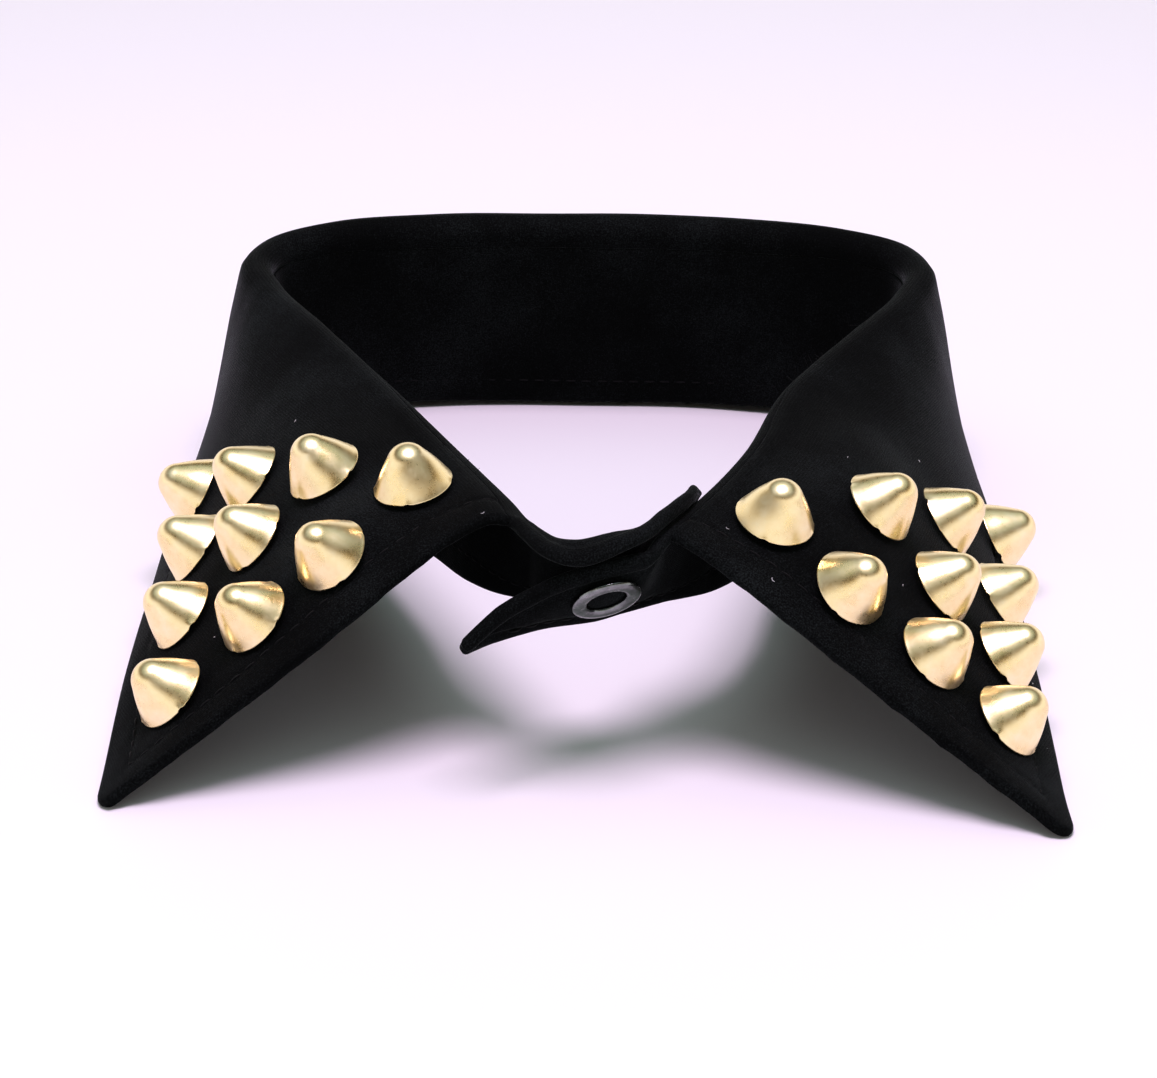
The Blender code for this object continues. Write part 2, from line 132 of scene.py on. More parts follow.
# Steps of the dense cloth: its free edges, its seam and what lies between them.
PROBE = 0.05
EDGE_STEPS = (
    0.0, 0.08, 0.28, 0.55, 0.9, 1.4, 2.0, 2.7, 3.4, 4.0, 4.5, 5.0, 5.5, 6.0, 6.5, 7.0, 7.5, 8.0, 9.0,
)
SEAM_STEPS = (0.0, 0.1, 0.35, 0.7, 1.2, 2.0, 3.0)
TAB_STEPS = (0.0, 0.08, 0.28, 0.55, 0.9, 1.3, 1.8, 2.2, 2.6, 3.0, 3.5, 4.2)
ROUND_STEP = 1.15
ACROSS_STEP = 1.2

# How far the tabs bend towards each other above the snap, and over how much of their height.
OUTER_TAB_CURL = 1.5
INNER_TAB_CURL = 1.1
TAB_CURL_REACH = 4.0

# The sewing: how far its stitches lie from an edge, how long they are and how deep they pull.
FALL_STITCH_LINE = 6.0
STAND_STITCH_LINE = 4.6
TAB_STITCH_LINE = 2.6
STITCH_LENGTH = 2.3
STITCH_GAP = 0.55
THREAD_RADIUS = 0.17
STITCH_GROOVE = 0.30
SEAM_GROOVE_SHARE = 0.75


def linear(hex_colour):
    """Turn an sRGB hex colour into the linear colour that a shader takes."""
    parts = [int(hex_colour[i:i + 2], 16) / 255.0 for i in (1, 3, 5)]
    curve = [p / 12.92 if p <= 0.04045 else ((p + 0.055) / 1.055) ** 2.4 for p in parts]
    return (*curve, 1.0)


# The cloth's mid-surface.


def spline(knots, rows, places):
    """Return a smooth curve through the rows, in which a run of equal values stays flat."""
    widths = np.diff(knots)
    slopes = np.diff(rows, axis=0) / widths[:, None]
    tangents = np.empty_like(rows)
    tangents[0] = slopes[0]
    tangents[-1] = slopes[-1]
    before = widths[:-1, None]
    after = widths[1:, None]
    tangents[1:-1] = (slopes[:-1] * after + slopes[1:] * before) / (before + after)
    flat = np.minimum(np.abs(slopes[:-1]), np.abs(slopes[1:])) < 1e-9
    tangents[1:-1][flat] = 0.0
    index = np.clip(np.searchsorted(knots, places, side="right") - 1, 0, len(widths) - 1)
    width = widths[index][:, None]
    t = (places - knots[index])[:, None] / width
    return (
        rows[index] * (2 * t**3 - 3 * t**2 + 1)
        + tangents[index] * width * (t**3 - 2 * t**2 + t)
        + rows[index + 1] * (3 * t**2 - 2 * t**3)
        + tangents[index + 1] * width * (t**3 - t**2)
    )


def metres(points):
    """Return points of the tables as places in the part's own frame."""
    return (points + np.array((NECK_MIDDLE, 0.0, 0.0))) * MM


def unit(vectors):
    return vectors / np.linalg.norm(vectors, axis=-1)[..., None]


def dot(a, b):
    return np.sum(a * b, axis=-1)


def snap_axes():
    """Return the snap's directions along the tab, up the tab and out of it."""
    along = np.array((math.cos(SNAP_TURN), math.sin(SNAP_TURN), 0.0))
    front = np.array((math.sin(SNAP_TURN), -math.cos(SNAP_TURN), 0.0))
    out = front * math.cos(SNAP_TILT) - np.array((0.0, 0.0, math.sin(SNAP_TILT)))
    return np.array((along, np.cross(out, along), out))


def snap_point(along, up, out):
    return np.array(SNAP_CENTRE) + np.array((along, up, out)) @ snap_axes()


def tab_row(values, spacing):
    """Turn a row of a tab's table into a row of the section table."""
    row = dict(zip(TAB_COLUMNS, values))
    crest = snap_point(row["along"], row["crest_up"], row["crest_out"] - spacing)
    hem = snap_point(row["along"], row["hem_up"], row["hem_out"] - spacing)
    foot = snap_point(row["along"], row["foot_up"], row["foot_out"] - spacing)
    return (*crest, *hem, *foot, row["seam"], row["roll"], 0.0)


def mirrored(values):
    return tuple(-v if name.endswith("_x") else v for name, v in zip(COLUMNS, values))


def ring_rows():
    """Return all sections from the inner tab's tip, round the back, to the outer tab's tip."""
    inner = [tab_row(values, TAB_SPACING) for values in reversed(INNER_TAB_ROWS)]
    left = [*reversed(LEFT_FRONT_ROWS)] + [mirrored(values) for values in reversed(BACK_ROWS[1:])]
    right = [*BACK_ROWS] + [*RIGHT_FRONT_ROWS]
    outer = [tab_row(values, 0.0) for values in OUTER_TAB_ROWS]
    return np.array(inner + left + right + outer)


def shoulder(share):
    """Return how full the swell is at a share of the run: up to a soft shoulder, then straight."""

    def peak(x):
        up = x / SHOULDER_SHARE
        down = (1.0 - x) / (1.0 - SHOULDER_SHARE)
        return (up + down - np.hypot(up - down, SHOULDER_SOFTNESS)) / 2.0

    return peak(share) - peak(0.0) * (1.0 - share) - peak(1.0) * share


class Ring:
    """The cloth's mid-surface, found by distances round the crest and across the cloth."""

    def __init__(self):
        rows = ring_rows()
        self.axes = snap_axes()
        self.paths = [(rows[:, i:i + 3] - SNAP_CENTRE) @ self.axes.T for i in (0, 3, 6)]
        self.traits = rows[:, 9:12]
        steps = np.linalg.norm(np.diff(rows[:, 0:3], axis=0), axis=1)
        self.knots = np.concatenate(([0.0], np.cumsum(steps)))
        first = len(INNER_TAB_ROWS)
        last = len(rows) - 1 - len(OUTER_TAB_ROWS)
        self.stretches = (slice(0, first + 1), slice(first, last + 1), slice(last, len(rows)))
        self.start, self.fall_start = self.knots[0], self.knots[first]
        self.fall_end, self.end = self.knots[last], self.knots[-1]

    def sections(self, places):
        """Return the parts of the cloth's cuts at an array of places, each an array."""
        crest = spline(self.knots, self.paths[0], places)
        foot = spline(self.knots, self.paths[2], places)
        guides = np.hstack((self.paths[1], self.traits))
        found = np.empty((len(places), 6))
        which = (places > self.fall_start).astype(int) + (places > self.fall_end)
        for number, stretch in enumerate(self.stretches):
            inside = which == number
            if inside.any():
                found[inside] = spline(self.knots[stretch], guides[stretch], places[inside])
        crest, hem, foot = (p @ self.axes + SNAP_CENTRE for p in (crest, found[:, :3], foot))
        cut = {"foot": foot, "hem": hem, "seam": found[:, 3], "roll": found[:, 4]}
        cut["belly"] = found[:, 5]
        cut["top"] = unit(unit(crest - foot) - unit(hem - crest))
        across = hem - foot
        cut["across"] = unit(across - cut["top"] * dot(across, cut["top"])[:, None])
        cut["centre"] = crest - cut["roll"][:, None] * cut["top"]
        for end in ("foot", "hem"):
            offset = cut[end] - cut["centre"]
            height = dot(offset, cut["top"])
            sideways = np.abs(dot(offset, cut["across"]))
            distance = np.hypot(sideways, height)
            cut[end + "_angle"] = np.arctan2(sideways, height) - np.arccos(cut["roll"] / distance)
            cut[end + "_run"] = np.sqrt(distance**2 - cut["roll"] ** 2)
            cut[end + "_length"] = cut["roll"] * cut[end + "_angle"] + cut[end + "_run"]
        return cut

    def points(self, places, along):
        """Return points of the mid-surface at places and distances, positive towards the hem."""
        shape = np.shape(places)
        places, along = np.ravel(places), np.ravel(along)
        cut = self.sections(places)
        hemward = along > 0
        side = np.where(hemward, 1.0, -1.0)
        angle = np.where(hemward, cut["hem_angle"], cut["foot_angle"])
        run = np.where(hemward, cut["hem_run"], cut["foot_run"])
        end = np.where(hemward[:, None], cut["hem"], cut["foot"])
        on_roll = np.minimum(np.abs(along) / cut["roll"], angle)
        spoke = cut["top"] * np.cos(on_roll)[:, None]
        spoke = spoke + cut["across"] * (side * np.sin(on_roll))[:, None]
        point = cut["centre"] + cut["roll"][:, None] * spoke
        share = np.maximum(np.abs(along) - cut["roll"] * angle, 0.0) / run
        swell = np.where(hemward, cut["belly"] * shoulder(share), 0.0)
        point = point + (end - point) * share[:, None] + spoke * swell[:, None]
        return point.reshape(*shape, 3)

    def surface(self, places, along):
        """Return points of the mid-surface and the direction out of the cloth there."""
        across = self.points(places, along + PROBE) - self.points(places, along - PROBE)
        round_way = self.points(places + PROBE, along) - self.points(places - PROBE, along)
        return self.points(places, along), unit(np.cross(round_way, across))


RING = Ring()


def hollow(depth, past_seam):
    """Return how far the front edge is cut back, at a distance past the seam."""
    reach = past_seam / HOLLOW_REACH
    return depth * reach * np.exp(1.0 - reach)


# Dense cloth walls.


def between(start, end, step):
    """Return even steps from start to end, without the end."""
    return np.linspace(start, end, max(2, round((end - start) / step)), endpoint=False)


def fall_lattice():
    """Return the fall's lattice of places and distances, fine along its edges and its seam."""
    edge = np.array(EDGE_STEPS)
    left = RING.fall_start + edge
    right = RING.fall_end - edge[::-1]
    places = np.concatenate((left[:-1], between(left[-1], right[0], ROUND_STEP), right))
    cut = RING.sections(places)
    first = cut["seam"]
    from_front = np.minimum(places - RING.fall_start, RING.fall_end - places)
    corner = np.maximum(0.0, TIP_RADIUS - from_front)
    rounding = TIP_RADIUS - np.sqrt(TIP_RADIUS**2 - corner**2)
    depth = cut["hem_length"] - rounding - first
    middle_start = SEAM_STEPS[-1]
    count = round((np.mean(depth) - middle_start - edge[-1]) / ACROSS_STEP)
    rows = []
    for d in depth:
        middle = np.linspace(middle_start, d - edge[-1], count + 1)[1:-1]
        rows.append(np.concatenate((SEAM_STEPS, middle, d - edge[::-1])))
    past = np.array(rows)
    along = ((places - RING.fall_start) / (RING.fall_end - RING.fall_start))[:, None]
    shift = hollow(LEFT_HOLLOW, past) * np.maximum(0.0, 1.0 - 4.0 * along)
    shift -= hollow(RIGHT_HOLLOW, past) * np.maximum(0.0, 4.0 * along - 3.0)
    from_edge = from_front[:, None]
    wave = 0.08 * np.sin(past * 0.66 + 1.0) + 0.05 * np.sin(past * 1.31)
    shift += wave * np.exp(-from_edge / 5.0) * np.clip(past / 4.0, 0.0, 1.0)
    return places[:, None] + shift, first[:, None] + past


def stand_lattice():
    """Return the stand's lattice of places and distances, narrowing to its rounded tips."""
    tips = np.array(TAB_STEPS)
    places = np.concatenate((
        RING.start + tips[:-1],
        between(RING.start + tips[-1], RING.fall_start, 0.8),
        between(RING.fall_start, RING.fall_end, ROUND_STEP),
        between(RING.fall_end, RING.end - tips[-1], 0.8),
        RING.end - tips[::-1],
    ))
    cut = RING.sections(places)
    foot, top = -cut["foot_length"], cut["seam"]
    from_tip = np.minimum(places - RING.start, RING.end - places)
    reach = np.clip(1.0 - from_tip / TAB_TIP_ROUNDING, 0.0, 1.0)
    keep = TAB_TIP_BLUNT + (1.0 - TAB_TIP_BLUNT) * np.sqrt(1.0 - reach**2)
    middle = (foot + top) / 2.0
    foot = middle + (foot - middle) * keep
    top = middle + (top - middle) * keep
    low = np.array(TAB_STEPS)
    rows = []
    for start, end in zip(foot, top):
        edge = low * min(1.0, (end - start) / (2.6 * low[-1]))
        inner = np.linspace(start + edge[-1], end - edge[-1], 14)[1:-1]
        rows.append(np.concatenate((start + edge, inner, end - edge[::-1])))
    along = np.array(rows)
    return np.repeat(places[:, None], along.shape[1], axis=1), along


TAB_TIP_ROUNDING = 3.2
TAB_TIP_BLUNT = 0.45


def run_lengths(points, axis):
    """Return distances over the cloth from the lattice's first row or column."""
    steps = np.linalg.norm(np.diff(points, axis=axis), axis=2)
    zero = np.zeros_like(np.take(steps, [0], axis=axis))
    return np.concatenate((zero, np.cumsum(steps, axis=axis)), axis=axis)


def round_edge(distance, radius):
    """Return the share of the cloth's thickness left at a distance from a folded edge."""
    inside = np.clip(1.0 - distance / radius, 0.0, 1.0)
    return np.sqrt(np.maximum(1.0 - inside**2, 0.0))


def bump(distance, centre, width):
    return np.exp(-(((distance - centre) / width) ** 2))


def cloth_waves(places, along, strength):
    """Return a slight unevenness of sewn cloth: three long waves that never line up."""
    waves = 0.50 * np.sin(places * 0.137 + along * 0.051 + 0.7)
    waves += 0.30 * np.sin(places * 0.243 - along * 0.093 + 2.1)
    waves += 0.20 * np.sin(places * 0.071 + along * 0.191 + 4.0)
    return strength * waves


def puckers(places, distance, line):
    """Return the small ripples that a row of stitches pulls into the cloth beside it."""
    near = bump(distance, line, 1.6)
    ripple = np.sin(places * 1.31) * 0.6 + np.sin(places * 0.83 + 1.3) * 0.4
    return 0.05 * near * ripple


def shell_mesh(name, upper, under, places, along, material):
    """Join two grids of points into one closed shell with cloth coordinates, in metres."""
    rows, columns, _ = upper.shape
    grid = np.arange(rows * columns).reshape(rows, columns)
    below = grid + rows * columns
    a, b, c, d = grid[:-1, :-1], grid[1:, :-1], grid[1:, 1:], grid[:-1, 1:]
    tops = np.stack((a, b, c, d), axis=-1).reshape(-1, 4)
    shift = rows * columns
    downs = np.stack((a, d, c, b), axis=-1).reshape(-1, 4) + shift
    border = [*grid[::-1, 0][:-1], *grid[0, :-1], *grid[:-1, -1], *grid[-1, ::-1][:-1]]
    loop = np.array(border)
    following = np.roll(loop, -1)
    rims = np.stack((loop, following, following + shift, loop + shift), axis=-1)
    faces = np.concatenate((tops, downs, rims))
    verts = np.concatenate((upper.reshape(-1, 3), under.reshape(-1, 3)))
    verts[:, 2] = np.maximum(verts[:, 2], 0.02)
    mesh = bpy.data.meshes.new(name)
    mesh.from_pydata(metres(verts).tolist(), [], faces.tolist())
    cloth = np.stack((places.ravel(), along.ravel()), axis=-1) * MM
    cloth = np.concatenate((cloth, cloth))
    layer = mesh.uv_layers.new(name="cloth")
    corner_verts = np.empty(len(mesh.loops), dtype=np.int32)
    mesh.loops.foreach_get("vertex_index", corner_verts)
    layer.data.foreach_set("uv", cloth[corner_verts].ravel())
    mesh.materials.append(material)
    mesh.shade_smooth()
    return mesh


def add_piece(name, mesh, replaces=()):
    """Add a piece that rides on the part and may stand for CAD nodes, which it hides."""
    piece = bpy.data.objects.new(name, mesh)
    bpy.context.scene.collection.objects.link(piece)
    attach(piece, "root")
    if replaces:
        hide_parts(*replaces)
    return piece


def lattice_area(points):
    """Return the area of a lattice of points, in square metres."""
    first = points[1:, 1:] - points[:-1, :-1]
    second = points[1:, :-1] - points[:-1, 1:]
    return float(np.sum(np.linalg.norm(np.cross(first, second), axis=2)) / 2.0) * MM**2


def cross_at(values, level, *grids):
    """Return where rising values first pass a level, as values of the other grids there."""
    index = int(np.argmax(values >= level))
    before = max(index - 1, 0)
    span = values[index] - values[before]
    share = 0.0 if span == 0 else (level - values[before]) / span
    return [grid[before] + (grid[index] - grid[before]) * share for grid in grids]


def build_fall(cotton):
    """Build the fall, and return it with the line its top stitching follows."""
    places, along = fall_lattice()
    points, normals = RING.surface(places, along)
    from_left = run_lengths(points, 0)
    from_front = np.minimum(from_left, from_left[-1] - from_left)
    from_seam = run_lengths(points, 1)
    from_hem = from_seam[:, -1:] - from_seam
    edge = np.minimum(from_front, from_hem)
    seam_share = SEAM_GROOVE_SHARE + (1.0 - SEAM_GROOVE_SHARE) * round_edge(from_seam, 1.1)
    half = CLOTH / 2 * round_edge(edge, 0.9) * seam_share
    half += 0.10 * bump(edge, 3.0, 1.9) - STITCH_GROOVE / 2 * bump(edge, FALL_STITCH_LINE, 0.55)
    half = np.maximum(half, 0.02)
    loose = np.clip(edge / 2.0, 0.0, 1.0) * np.clip(from_seam / 10.0, 0.0, 1.0)
    shift = cloth_waves(places, along, 0.22) * loose + puckers(places + along, edge, FALL_STITCH_LINE)
    middle = points + normals * shift[:, :, None]
    upper = middle + normals * half[:, :, None]
    under = middle - normals * half[:, :, None]
    mesh = shell_mesh("cloth_fall", upper, under, places, along, cotton)
    piece = add_piece("cloth_fall", mesh, ["collar_fall"])
    area = lattice_area(points)
    line = []
    columns = range(len(places[0]))
    rows = range(len(places))
    for j in columns:
        spot = cross_at(from_left[:, j], FALL_STITCH_LINE, places[:, j], along[:, j], from_hem[:, j])
        if spot[2] >= FALL_STITCH_LINE:
            line.append(spot[:2])
    for i in rows:
        back = slice(None, None, -1)
        spot = cross_at(from_hem[i, back], FALL_STITCH_LINE, places[i, back], along[i, back], from_front[i, back])
        if spot[2] >= FALL_STITCH_LINE:
            line.append(spot[:2])
    for j in reversed(columns):
        back = slice(None, None, -1)
        from_right = from_left[-1, j] - from_left[back, j]
        spot = cross_at(from_right, FALL_STITCH_LINE, places[back, j], along[back, j], from_hem[back, j])
        if spot[2] >= FALL_STITCH_LINE:
            line.append(spot[:2])
    return piece, np.array(line), area


def stand_stitch_line(places):
    """Return how far the stand's stitches lie from its edges: closer on the tabs."""
    on_band = np.minimum(places - RING.fall_start, RING.fall_end - places)
    share = np.clip(on_band / 25.0, 0.0, 1.0)
    share = share * share * (3.0 - 2.0 * share)
    return TAB_STITCH_LINE + (STAND_STITCH_LINE - TAB_STITCH_LINE) * share


def build_stand(cotton):
    """Build the stand, and return it with the line that its stitching follows."""
    places, along = stand_lattice()
    points, normals = RING.surface(places, along)
    from_start = run_lengths(points, 0)
    from_tip = np.minimum(from_start, from_start[-1] - from_start)
    from_foot = run_lengths(points, 1)
    from_top = from_foot[:, -1:] - from_foot
    on_tab = (places < RING.fall_start) | (places > RING.fall_end)
    edge = np.minimum(from_foot, from_tip)
    edge = np.where(on_tab, np.minimum(edge, from_top), edge)
    seam_share = SEAM_GROOVE_SHARE + (1.0 - SEAM_GROOVE_SHARE) * round_edge(from_top, 1.1)
    line_at = stand_stitch_line(places)
    half = CLOTH / 2 * round_edge(edge, 0.9) * np.where(on_tab, 1.0, seam_share)
    half += np.where(on_tab, 0.16, 0.05) * bump(edge, 1.3, 0.9)
    half -= np.where(on_tab, 0.26, STITCH_GROOVE / 2) * bump(edge, line_at, 0.5)
    half = np.maximum(half, 0.02)
    shift = cloth_waves(places + 40.0, along, 0.12) * np.clip(from_top / 6.0, 0.0, 1.0)
    shift *= np.where(on_tab, 0.3, 1.0)
    shift += puckers(places, edge, line_at)
    past_fall = np.clip((places - RING.fall_end - 1.0) / 6.0, 0.0, 1.0)
    before_fall = np.clip((RING.fall_start - 1.0 - places) / 6.0, 0.0, 1.0)
    curl = bump(from_top, 0.0, TAB_CURL_REACH) * np.clip(from_tip / 7.0, 0.0, 1.0)
    bend = curl * (INNER_TAB_CURL * before_fall - OUTER_TAB_CURL * past_fall)
    middle = points + normals * shift[:, :, None] + snap_axes()[2] * bend[:, :, None]
    upper = middle + normals * half[:, :, None]
    under = middle - normals * half[:, :, None]
    mesh = shell_mesh("cloth_stand", upper, under, places, along, cotton)
    piece = add_piece("cloth_stand", mesh, ["collar_stand"])
    area = lattice_area(points)
    line = []
    for i in range(len(places)):
        level = stand_stitch_line(places[i, 0])
        if from_foot[i, -1] > 2.4 * level and from_tip[i].min() > level:
            line.append(cross_at(from_foot[i], level, places[i], along[i]))
    return piece, np.array(line), area


# Threads.


def tube_mesh(name, paths, radius, sides, material):
    """Make one mesh of thin round threads, each tapering at its ends."""
    verts, faces = [], []
    turns = np.linspace(0.0, 2.0 * math.pi, sides, endpoint=False)
    for path in paths:
        path = np.array(path)
        tangents = unit(np.gradient(path, axis=0))
        helper = np.array((0.31, 0.22, 0.93))
        first = unit(np.cross(tangents, helper))
        second = np.cross(tangents, first)
        base = len(verts)
        count = len(path)
        for k in range(count):
            taper = radius * (0.45 if k in (0, count - 1) else 1.0)
            for turn in turns:
                offset = first[k] * math.cos(turn) + second[k] * math.sin(turn)
                verts.append(path[k] + offset * taper)
        for k in range(count - 1):
            for s in range(sides):
                a = base + k * sides + s
                b = base + k * sides + (s + 1) % sides
                faces.append((a, b, b + sides, a + sides))
        faces.append(tuple(base + s for s in reversed(range(sides))))
        faces.append(tuple(base + (count - 1) * sides + s for s in range(sides)))
    mesh = bpy.data.meshes.new(name)
    mesh.from_pydata(metres(np.array(verts)).tolist(), [], faces)
    mesh.materials.append(material)
    mesh.shade_smooth()
    return mesh


def stitches(line, side, seat):
    """Return the paths of stitches along a line of the cloth, on its outer or inner face."""
    points, normals = RING.surface(line[:, 0], line[:, 1])
    steps = np.linalg.norm(np.diff(points, axis=0), axis=1)
    run = np.concatenate(([0.0], np.cumsum(steps)))
    keep = np.concatenate(([True], np.diff(run) > 1e-6))
    run, line = run[keep], line[keep]
    paths = []
    start = 0.4
    while start + STITCH_LENGTH < run[-1]:
        at = start + np.linspace(0.0, STITCH_LENGTH, 6)
        places = np.interp(at, run, line[:, 0])
        along = np.interp(at, run, line[:, 1])
        points, normals = RING.surface(places, along)
        arch = np.sin(np.linspace(0.0, math.pi, 6)) * 0.22 - 0.16
        height = side * (seat + arch)
        paths.append(points + normals * height[:, None])
        start += STITCH_LENGTH + STITCH_GAP
    return paths


def loose_fibres(places, count, seed, length, lie):
    """Return the paths of short fibres that stand off the roll where it is worn."""
    chance = np.random.default_rng(seed)
    paths = []
    for _ in range(count):
        place = chance.uniform(*places)
        spot = np.array([place])
        along = RING.sections(spot)["seam"] + chance.uniform(-0.4, 2.4)
        point, normal = RING.surface(spot, along)
        point, normal = point[0] + normal[0] * CLOTH / 2, normal[0]
        way = unit(normal * lie + chance.normal(0.0, 0.6, 3))
        bend = chance.normal(0.0, 0.5, 3)
        reach = length * chance.uniform(0.4, 1.0)
        steps = np.linspace(0.0, 1.0, 7)[:, None]
        paths.append(point - normal * 0.1 + (way * steps + bend * steps**2 * 0.6) * reach)
    return paths


def lint_specks(spots, seed):
    """Return tiny curled fibres lying on the cloth at places and distances from the crest."""
    chance = np.random.default_rng(seed)
    paths = []
    for place, along in spots:
        point, normal = RING.surface(np.array([place]), np.array([along]))
        point, normal = point[0] + normal[0] * (CLOTH / 2 + 0.10), normal[0]
        flat = unit(np.cross(normal, chance.normal(0.0, 1.0, 3)))
        other = np.cross(normal, flat)
        reach = chance.uniform(0.15, 0.45)
        steps = np.linspace(-1.0, 1.0, 6)[:, None]
        paths.append(point + flat * steps * reach + other * (steps**2 - 0.5) * reach * 0.6)
    return paths


# Metal pieces.


def turned(name, profile, turns, material, shape=None):
    """Turn a half outline (radius, height) round its axis; shape may move the points after."""
    profile = np.array(profile)
    angles = np.linspace(0.0, 2.0 * math.pi, turns, endpoint=False)
    rings = []
    for radius, height in profile:
        ring = np.stack((
            radius * np.cos(angles), radius * np.sin(angles), np.full(turns, height),
        ), axis=-1)
        rings.append(ring)
    grid = np.array(rings)
    if shape is not None:
        grid = shape(grid, angles)
    count = len(profile)
    index = np.arange(count * turns).reshape(count, turns)
    following = np.roll(index, -1, axis=1)
    faces = np.stack((index[:-1], index[1:], following[1:], following[:-1]), axis=-1)
    mesh = bpy.data.meshes.new(name)
    mesh.from_pydata((grid.reshape(-1, 3) * MM).tolist(), [], faces.reshape(-1, 4).tolist())
    mesh.materials.append(material)
    mesh.shade_smooth()
    return mesh


def place_on(piece, point, axis, turn):
    """Move a piece's points so that it stands on a point, with its own axis along the one given."""
    stand = Vector(axis).to_track_quat("Z", "Y").to_matrix().to_4x4()
    spin = Matrix.Rotation(turn, 4, "Z")
    piece.data.transform(Matrix.Translation(Vector(metres(point))) @ stand @ spin)


def stud_outline():
    """Return a stamped stud's half outline: round tip, straight side, rolled rim, inner skin."""
    side_height = (STUD_RADIUS - STUD_TIP_RADIUS * math.cos(STUD_SIDE_ANGLE)) / math.tan(STUD_SIDE_ANGLE)
    centre = side_height - STUD_TIP_RADIUS * math.sin(STUD_SIDE_ANGLE)
    outline = [(0.0005, centre + STUD_TIP_RADIUS)]
    for angle in np.linspace(0.0, math.pi / 2 - STUD_SIDE_ANGLE, 12)[1:]:
        radius = STUD_TIP_RADIUS * math.sin(angle)
        outline.append((radius, centre + STUD_TIP_RADIUS * math.cos(angle)))
    top_radius, top_height = outline[-1]
    rim_height = 0.42
    for share in np.linspace(0.0, 1.0, 15)[1:]:
        swell = STUD_SWELL * math.sin(math.pi * share) ** 1.2
        radius = top_radius + (STUD_RADIUS - 0.16 - top_radius) * share + swell * math.cos(STUD_SIDE_ANGLE)
        height = top_height + (rim_height - top_height) * share + swell * math.sin(STUD_SIDE_ANGLE)
        outline.append((radius, height))
    outline += [(5.93, 0.28), (5.99, 0.18), (6.0, 0.08), (5.96, 0.0), (5.80, -0.03), (5.62, 0.0)]
    outline += [(5.50, 0.25), (4.6, 1.7), (2.6, 4.6), (0.0005, 5.4)]
    return outline


def notched(grid, angles):
    """Nick the rim where the four prongs were cut and bent, and leave the stamping uneven."""
    lift = np.zeros(len(angles))
    for middle, width, height in PRONG_NOTCHES:
        away = np.angle(np.exp(1j * (angles - middle)))
        lift += height * np.exp(-((away / width) ** 4))
    low = np.clip(1.0 - grid[:, :, 2] / 1.1, 0.0, 1.0)
    grid = grid.copy()
    grid[:, :, 2] += low * lift[None, :]
    grid[:, :, :2] *= (1.0 + 0.006 * low * np.sin(angles * 3.0 + 0.5)[None, :])[:, :, None]
    return grid


# Middle, half width and height of each notch: radians, radians and millimetres.
PRONG_NOTCHES = ((0.2, 0.08, 0.32), (1.75, 0.07, 0.24), (3.3, 0.09, 0.34), (4.95, 0.07, 0.26))
# How far the side of a stud swells out between its tip and its rim.
STUD_SWELL = 0.13


def stud_seats():
    """Return each stud's node, the middle of its base and its axis."""
    seats = []
    for side, table in (("left", LEFT_STUDS), ("right", RIGHT_STUDS)):
        rows = np.array(table)
        places = RING.fall_start + rows[:, 0] if side == "left" else RING.fall_end - rows[:, 0]
        points, normals = RING.surface(places, rows[:, 1])
        hemward = unit(RING.points(places, rows[:, 1] + PROBE) - points)
        axes = normals * math.cos(STUD_LEAN) + hemward * math.sin(STUD_LEAN)
        lift = CLOTH / 2 + METAL_GAP + STUD_RADIUS * math.sin(STUD_LEAN)
        for number, (point, normal, axis) in enumerate(zip(points, normals, axes), start=1):
            seats.append((f"stud_{side}_{number:02d}", point + normal * lift, axis))
    return seats


def add_studs(gold):
    """Put a stamped stud on each seat, each turned a little differently."""
    mesh = turned("cone_stud", stud_outline(), 96, gold, notched)
    chance = np.random.default_rng(7)
    for name, point, axis in stud_seats():
        stud = bpy.data.objects.new("gold_" + name, mesh.copy())
        bpy.context.scene.collection.objects.link(stud)
        place_on(stud, point, axis, chance.uniform(0.0, 2.0 * math.pi))
        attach(stud, "root")
        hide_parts(name)


def ring_outline(outer, inner, top, bottom):
    """Return the closed half outline of a pressed ring, domed on top."""
    middle, half = (outer + inner) / 2.0, (outer - inner) / 2.0
    outline = []
    for angle in np.linspace(0.0, math.pi, 15):
        lift = math.sin(angle) ** 0.7
        outline.append((middle + half * math.cos(angle), bottom + (top - bottom) * (0.25 + 0.75 * lift)))
    outline.append((inner, bottom))
    outline.append((outer, bottom))
    outline.append(outline[0])
    return outline


def add_snap(nickel):
    """Put the four pressed pieces of the ring snap on the lapped tabs."""
    out = snap_axes()[2]
    centre = snap_point(*SNAP_PLACE, 0.0)
    socket = [(4.0, -1.5), (4.0, -1.35), (3.85, -1.25), (3.3, -1.3), (3.0, -1.6), (2.7, -1.7)]
    socket += [(2.6, -1.9), (2.6, -2.4), (2.8, -2.6), (3.8, -2.6), (4.0, -2.4), (4.0, -1.5)]
    ball = [(0.001, -1.62), (0.9, -1.66), (1.7, -1.8), (2.1, -2.1), (2.2, -2.4), (2.0, -2.7)]
    ball += [(2.1, -2.95), (3.6, -2.95), (3.85, -3.05), (3.9, -3.25), (3.85, -3.5), (0.001, -3.55)]
    pieces = {
        "snap_ring": ring_outline(5.25, 3.0, 1.75, 1.0),
        "snap_socket": socket,
        "snap_ball": ball,
        "snap_back_ring": [(r, -h) for r, h in ring_outline(4.5, 2.4, 7.15, 6.3)][::-1],
    }
    for name, outline in pieces.items():
        mesh = turned(name + "_metal", outline, 96, nickel)
        piece = bpy.data.objects.new("nickel_" + name, mesh)
        bpy.context.scene.collection.objects.link(piece)
        place_on(piece, centre, out, 0.0)
        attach(piece, "root")
        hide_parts(name)


# Materials.


